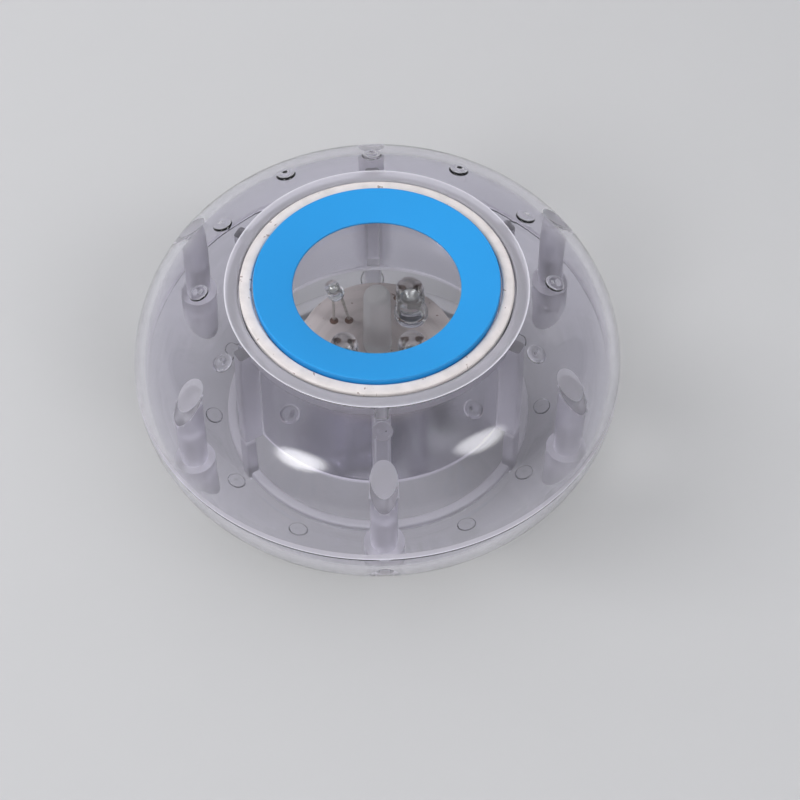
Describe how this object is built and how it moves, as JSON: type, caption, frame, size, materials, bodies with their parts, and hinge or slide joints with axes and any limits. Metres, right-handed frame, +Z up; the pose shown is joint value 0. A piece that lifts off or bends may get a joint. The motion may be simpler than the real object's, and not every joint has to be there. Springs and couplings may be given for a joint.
{
  "type": "floating pool light",
  "caption": "Clear round floating pool light with a blue ring round its lamp window, LEDs on a board in the hub, a power button and a battery cap underneath.",
  "frame": {"origin": "middle of the flat underside, on the surface that the light stands on", "axes": "+Z up through the lamp window; -Y towards the viewer, with the power button on +X"},
  "size_m": [0.09, 0.09, 0.0405],
  "materials": {
    "clear_shell": "clear polished moulding with a faint lilac tint",
    "clear_window": "clear polished",
    "clear_led": "water-clear cast epoxy",
    "clear_seal": "translucent soft seal",
    "blue_bezel": "satin bright blue",
    "white_gasket": "matt white",
    "white_board": "white solder resist",
    "plated_steel": "nickel plated",
    "tinned_wire": "tinned",
    "cell_steel": "bright drawn can",
    "black_plastic": "moulded black",
    "black_rubber": "matt black",
    "white_silicone": "soft white silicone"
  },
  "bodies": {
    "float": {"upper_shell": "clear_shell", "lower_shell": "clear_shell", "window_lens": "clear_window", "centre_post": "clear_window", "rim_seal": "clear_seal", "window_gasket": "white_gasket", "bezel_ring": "blue_bezel", "circuit_board": "white_board", "tact_switch": "black_plastic", "driver_chip": "black_plastic", "led_resistor": "black_plastic", "contact_strip": "plated_steel", "contact_spring": "plated_steel", "shell_screw_1": "plated_steel", "shell_screw_2": "plated_steel", "shell_screw_3": "plated_steel", "shell_screw_4": "plated_steel", "shell_screw_5": "plated_steel", "shell_screw_6": "plated_steel", "led_1": "clear_led", "led_lead_1a": "tinned_wire", "led_lead_1b": "tinned_wire", "led_2": "clear_led", "led_lead_2a": "tinned_wire", "led_lead_2b": "tinned_wire", "led_3": "clear_led", "led_lead_3a": "tinned_wire", "led_lead_3b": "tinned_wire", "led_4": "clear_led", "led_lead_4a": "tinned_wire", "led_lead_4b": "tinned_wire", "button_cell_1": "cell_steel", "button_cell_2": "cell_steel", "button_cell_3": "cell_steel"},
    "cap": {"battery_cap": "clear_shell", "cap_oring": "black_rubber", "cap_contact": "plated_steel"},
    "button": {"power_button": "white_silicone", "switch_plunger": "black_plastic"}
  },
  "joints": [
    {"name": "cap_turn", "type": "hinge", "parent": "float", "child": "cap", "pos_m": [-0.0042, 0, 0.001], "axis": [0, 0, 1], "range_deg": [0, 90]},
    {"name": "button_press", "type": "slide", "parent": "float", "child": "button", "axis": [0, 0, 1], "range_m": [0, 0.0006], "stiffness_N_per_m": 1500}
  ]
}
